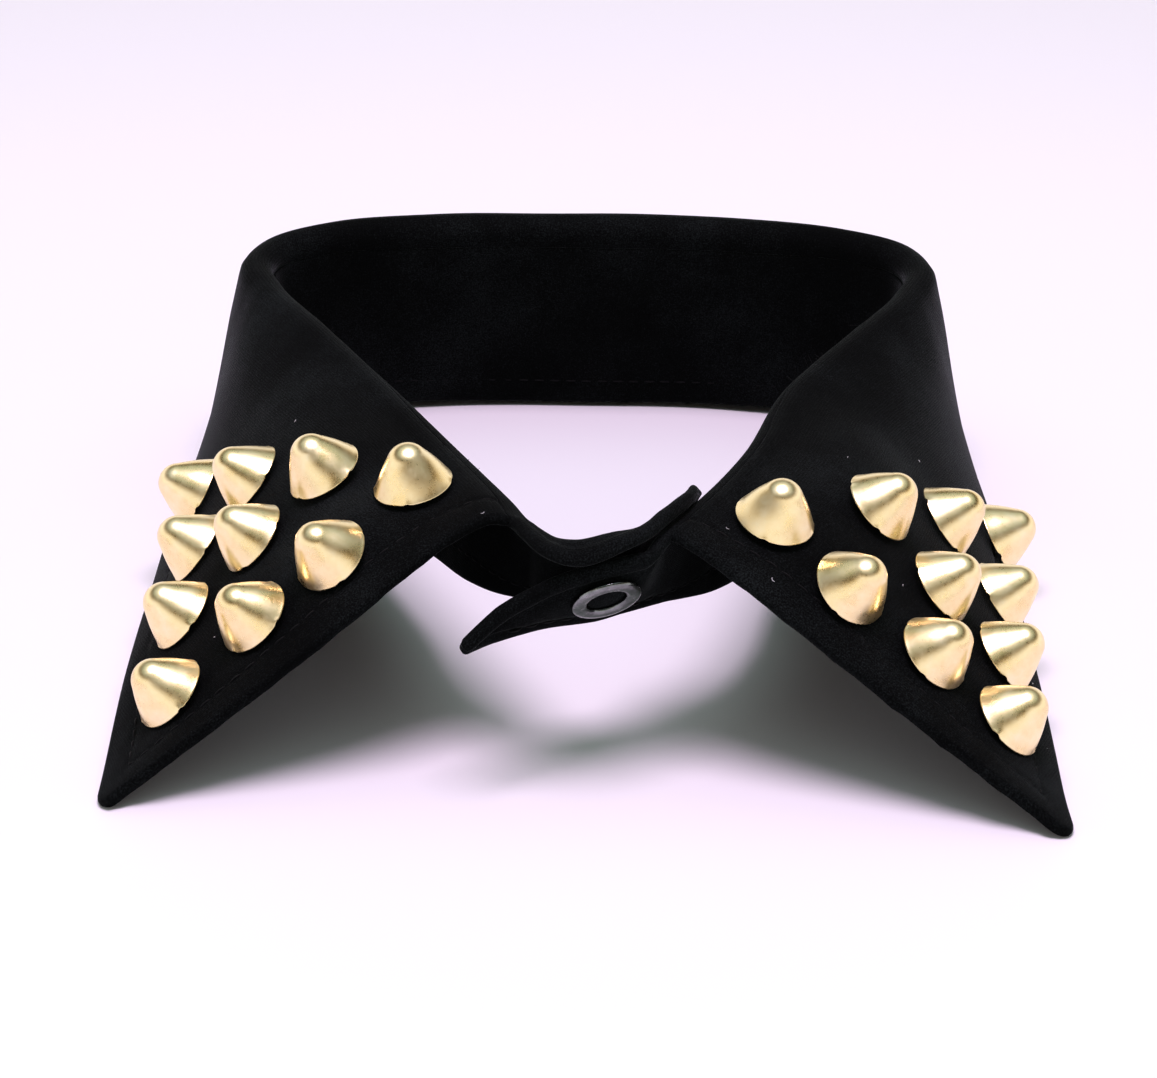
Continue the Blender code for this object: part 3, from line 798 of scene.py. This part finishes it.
def node(tree, kind, settings=None, **links):
    """Add a node with its settings, and link each named input to an output or give it a value."""
    made = tree.nodes.new("ShaderNode" + kind)
    for name, value in (settings or {}).items():
        setattr(made, name, value)
    for name, value in links.items():
        socket = made.inputs[int(name[1:])] if name[1:].isdigit() else made.inputs[name.replace("_", " ")]
        if isinstance(value, bpy.types.NodeSocket):
            tree.links.new(value, socket)
        else:
            socket.default_value = value
    return made


def new_material(name, hex_colour, **shader_values):
    """Start a material, and return it with its tree and its shader."""
    material = bpy.data.materials.new(name)
    material.use_nodes = True
    shader = material.node_tree.nodes["Principled BSDF"]
    shader.inputs["Base Color"].default_value = linear(hex_colour)
    for key, value in shader_values.items():
        shader.inputs[key.replace("_", " ")].default_value = value
    return material, material.node_tree, shader


def ramp(tree, fac, stops):
    """Add a colour ramp of (position, hex colour) stops."""
    made = tree.nodes.new("ShaderNodeValToRGB")
    tree.links.new(fac, made.inputs[0])
    elements = made.color_ramp.elements
    while len(elements) < len(stops):
        elements.new(0.5)
    for element, (position, colour) in zip(elements, stops):
        element.position = position
        element.color = linear(colour)
    return made.outputs["Color"]


def black_cotton():
    """Black cotton poplin, plain woven from spun yarn and dyed: deep and matte, with a fine speckle
    where its threads catch the light, a faint bloom of fuzz along folds, and paler rubbed patches."""
    material, tree, shader = new_material(
        "black_cotton_poplin", "#090b0b", Roughness=0.9, IOR=1.47, Sheen_Weight=0.18,
        Sheen_Roughness=0.20, Sheen_Tint=linear("#d3dcdc"), Specular_IOR_Level=0.08,
    )
    cloth = node(tree, "UVMap", {"uv_map": "cloth"}).outputs["UV"]
    solid = node(tree, "TexCoord").outputs["Object"]
    # A band repeats every 0.314 units at scale 1, so the scale gives threads 0.42 mm apart. The
    # real ones are nearer 0.25 mm, which is too fine to show.
    thread_scale = 0.314 / (0.42 * MM)
    warp = node(tree, "TexWave", {"bands_direction": "X"}, Vector=cloth, Scale=thread_scale)
    weft = node(tree, "TexWave", {"bands_direction": "Y"}, Vector=cloth, Scale=thread_scale)
    for threads in (warp, weft):
        threads.inputs["Distortion"].default_value = 1.6
        threads.inputs["Detail"].default_value = 2.0
    grid = node(tree, "Math", {"operation": "MULTIPLY"}, _0=warp.outputs["Fac"], _1=weft.outputs["Fac"])
    slub = node(tree, "TexNoise", Vector=solid, Scale=4200.0, Detail=2.0, Roughness=0.65)
    rough = node(tree, "Math", {"operation": "MULTIPLY_ADD"}, _0=slub.outputs["Fac"], _1=2.2, _2=grid.outputs[0])
    rub = node(tree, "TexNoise", Vector=solid, Scale=34.0, Detail=5.0, Roughness=0.6)
    mix = node(tree, "Math", {"operation": "MULTIPLY_ADD"}, _0=slub.outputs["Fac"], _1=1.3, _2=rub.outputs["Fac"])
    shade = node(tree, "MapRange", Value=mix.outputs[0], From_Min=0.7, From_Max=1.55)
    colour = ramp(tree, shade.outputs["Result"], (
        (0.0, "#030404"), (0.5, "#080a0a"), (1.0, "#242929"),
    ))
    tree.links.new(colour, shader.inputs["Base Color"])
    fold = node(tree, "TexNoise", Vector=solid, Scale=110.0, Detail=1.0)
    soft = node(tree, "Bump", Strength=0.15, Distance=0.7 * MM, Height=fold.outputs["Fac"])
    weave = node(tree, "Bump", Strength=0.35, Distance=0.12 * MM, Height=rough.outputs[0], Normal=soft.outputs["Normal"])
    tree.links.new(weave.outputs["Normal"], shader.inputs["Normal"])
    return material


def black_thread():
    """Black polyester sewing thread, spun and waxed: a little glossier than the cloth."""
    material, tree, shader = new_material(
        "black_sewing_thread", "#0b0c0d", Roughness=0.7, IOR=1.5, Sheen_Weight=0.03,
        Specular_IOR_Level=0.15,
    )
    solid = node(tree, "TexCoord").outputs["Object"]
    twist = node(tree, "TexNoise", Vector=solid, Scale=2600.0, Detail=2.0)
    colour = ramp(tree, twist.outputs["Fac"], ((0.3, "#060707"), (0.7, "#101112")))
    tree.links.new(colour, shader.inputs["Base Color"])
    height = node(tree, "Bump", Strength=0.5, Distance=0.06 * MM, Height=twist.outputs["Fac"])
    tree.links.new(height.outputs["Normal"], shader.inputs["Normal"])
    return material


def white_lint():
    """Loose white cotton fluff caught on the cloth: matte and pale."""
    material, tree, shader = new_material("white_lint", "#cfd0d2", Roughness=0.9, Sheen_Weight=0.3)
    solid = node(tree, "TexCoord").outputs["Object"]
    fluff = node(tree, "TexNoise", Vector=solid, Scale=900.0)
    colour = ramp(tree, fluff.outputs["Fac"], ((0.3, "#a9abad"), (0.7, "#dcdcde")))
    tree.links.new(colour, shader.inputs["Base Color"])
    return material


def gold_brass():
    """Brass stamped into thin cones, tumbled and plated pale gold: satin, with a soft broad gleam,
    a fine grain, and duller freckles where the tumbling stayed."""
    material, tree, shader = new_material(
        "gold_plated_brass", "#fbe8bb", Metallic=1.0, Roughness=0.3,
    )
    solid = node(tree, "TexCoord").outputs["Object"]
    patch = node(tree, "TexNoise", Vector=solid, Scale=260.0, Detail=4.0, Roughness=0.6)
    colour = ramp(tree, patch.outputs["Fac"], ((0.3, "#f3daa4"), (0.55, "#fbe8bb"), (0.8, "#fef2d1")))
    tree.links.new(colour, shader.inputs["Base Color"])
    grain = node(tree, "TexNoise", Vector=solid, Scale=3400.0, Detail=2.0)
    mixed = node(tree, "Math", {"operation": "MULTIPLY_ADD"}, _0=grain.outputs["Fac"], _1=0.5, _2=patch.outputs["Fac"])
    satin = node(tree, "MapRange", Value=mixed.outputs[0], From_Min=0.5, From_Max=1.0, To_Min=0.24, To_Max=0.37)
    tree.links.new(satin.outputs["Result"], shader.inputs["Roughness"])
    height = node(tree, "Bump", Strength=0.10, Distance=0.05 * MM, Height=grain.outputs["Fac"])
    tree.links.new(height.outputs["Normal"], shader.inputs["Normal"])
    return material


def nickel_steel():
    """Steel pressed into rings and plated with nickel: bright, slightly warm, with fine wear."""
    material, tree, shader = new_material(
        "nickel_plated_steel", "#8c8f8e", Metallic=1.0, Roughness=0.25,
    )
    solid = node(tree, "TexCoord").outputs["Object"]
    wear = node(tree, "TexNoise", Vector=solid, Scale=700.0, Detail=5.0, Roughness=0.65)
    colour = ramp(tree, wear.outputs["Fac"], ((0.35, "#727574"), (0.7, "#9a9d9b")))
    tree.links.new(colour, shader.inputs["Base Color"])
    satin = node(tree, "MapRange", Value=wear.outputs["Fac"], From_Min=0.3, From_Max=0.75, To_Min=0.14, To_Max=0.34)
    tree.links.new(satin.outputs["Result"], shader.inputs["Roughness"])
    return material


def white_table():
    """A white laminate table top: pale, faintly lavender and almost matte."""
    material, tree, shader = new_material("white_table", "#e9e9ed", Roughness=0.6)
    return material


# Floor, light and camera.


def add_floor():
    mesh = bpy.data.meshes.new("floor")
    half = 2.0
    mesh.from_pydata([(-half, -half, 0.0), (half, -half, 0.0), (half, half, 0.0), (-half, half, 0.0)], [], [(0, 1, 2, 3)])
    mesh.materials.append(white_table())
    floor = bpy.data.objects.new("floor", mesh)
    bpy.context.scene.collection.objects.link(floor)


# Each soft box: name, place, what it points at, width, depth, power and colour.
SOFT_BOXES = (
    ("overhead", (0.0, -0.15, 0.93), (0.0, 0.0, 0.0), 0.52, 0.42, 7.0, "#ffe3fd"),
)
# The room's colour by height above the table, as the sine of the angle: pale walls, dim shelves
# above them and a grey ceiling.
ROOM = (
    (0.0, "#fdfbfd"), (0.36, "#fdfbfd"), (0.45, "#a8946c"), (0.51, "#40361b"), (0.62, "#40371f"),
    (0.72, "#a0aeaa"), (1.0, "#c5dad7"),
)


def add_room():
    """Put a dim room round the table: pale walls low down, darkness above, a pale ceiling."""
    world = bpy.data.worlds.new("room")
    bpy.context.scene.world = world
    world.use_nodes = True
    tree = world.node_tree
    towards = node(tree, "TexCoord").outputs["Generated"]
    height = node(tree, "SeparateXYZ", Vector=towards).outputs["Z"]
    bright = tree.nodes.new("ShaderNodeValToRGB")
    tree.links.new(height, bright.inputs[0])
    elements = bright.color_ramp.elements
    while len(elements) < len(ROOM):
        elements.new(0.5)
    for element, (position, colour) in zip(elements, ROOM):
        element.position = position
        element.color = linear(colour)
    backdrop = tree.nodes["Background"]
    tree.links.new(bright.outputs["Color"], backdrop.inputs["Color"])


def add_light():
    """Light the table from a large soft box overhead."""
    for name, place, target, width, depth, power, colour in SOFT_BOXES:
        light = bpy.data.lights.new(name, "AREA")
        light.shape = "ELLIPSE"
        light.size = width
        light.size_y = depth
        light.energy = power
        light.color = linear(colour)[:3]
        lamp = bpy.data.objects.new(name, light)
        bpy.context.scene.collection.objects.link(lamp)
        aim = Vector(place) - Vector(target)
        lamp.matrix_world = Matrix.Translation(place) @ aim.to_track_quat("Z", "Y").to_matrix().to_4x4()


def add_camera():
    """Stand the camera where the photograph was taken from."""
    back = Vector((0.0, -math.cos(CAMERA_ELEVATION), math.sin(CAMERA_ELEVATION)))
    right = Vector((1.0, 0.0, 0.0))
    up = back.cross(right)
    rolled_right = right * math.cos(CAMERA_ROLL) + up * math.sin(CAMERA_ROLL)
    rolled_up = up * math.cos(CAMERA_ROLL) - right * math.sin(CAMERA_ROLL)
    turn = Matrix((rolled_right, rolled_up, back)).transposed().to_4x4()
    data = bpy.data.cameras.new("photograph")
    data.sensor_width = SENSOR_WIDTH
    data.sensor_fit = "HORIZONTAL"
    data.lens = FOCAL_PIXELS / PHOTO_WIDTH * SENSOR_WIDTH
    data.clip_start = 0.02
    camera = bpy.data.objects.new("photograph", data)
    bpy.context.scene.collection.objects.link(camera)
    camera.matrix_world = Matrix.Translation(Vector(CAMERA_TARGET) + back * CAMERA_DISTANCE) @ turn
    bpy.context.scene.camera = camera


# White specks of lint: round the crest from the fall's left or right corner, down from the crest.
LINT = (
    (16.0, 46.0, "left"), (7.0, 60.0, "left"), (3.0, 4.0, "left"), (30.0, 8.0, "left"),
    (55.0, 14.0, "left"), (8.0, 6.0, "right"), (4.0, 16.0, "right"), (20.0, 30.0, "right"),
    (40.0, 12.0, "right"), (62.0, 22.0, "right"), (33.0, 55.0, "right"), (17.0, 62.0, "right"),
)
# The worn stretch of the right roll, round the crest from the fall's right corner.
WORN_ROLL = (58.0, 96.0)


def main():
    cotton = black_cotton()
    thread = black_thread()
    gold = gold_brass()
    nickel = nickel_steel()
    lint = white_lint()
    fall, fall_line, fall_area = build_fall(cotton)
    stand, foot_line, stand_area = build_stand(cotton)
    seat = CLOTH / 2 - STITCH_GROOVE / 2
    sewing = stitches(fall_line, 1.0, seat)
    add_piece("fall_top_stitching", tube_mesh("fall_top_stitching", sewing, THREAD_RADIUS, 6, thread))
    sewing = stitches(foot_line, 1.0, seat) + stitches(foot_line, -1.0, seat)
    add_piece("stand_stitching", tube_mesh("stand_stitching", sewing, THREAD_RADIUS, 6, thread))
    worn = (RING.fall_end - WORN_ROLL[1], RING.fall_end - WORN_ROLL[0])
    frays = loose_fibres(worn, 14, 3, 2.4, 0.7)
    frays += loose_fibres((RING.fall_start, RING.fall_end), 60, 5, 0.9, 1.0)
    add_piece("frayed_threads", tube_mesh("frayed_threads", frays, 0.035, 5, thread))
    spots = [(RING.fall_start + r if side == "left" else RING.fall_end - r, down) for r, down, side in LINT]
    add_piece("lint_specks", tube_mesh("lint_specks", lint_specks(spots, 11), 0.055, 5, lint))
    add_studs(gold)
    add_snap(nickel)
    add_floor()
    add_room()
    add_light()
    add_camera()


main()
view = bpy.context.scene.view_settings
view.view_transform = "Standard"
view.look = "Medium High Contrast"
view.exposure = 0.0
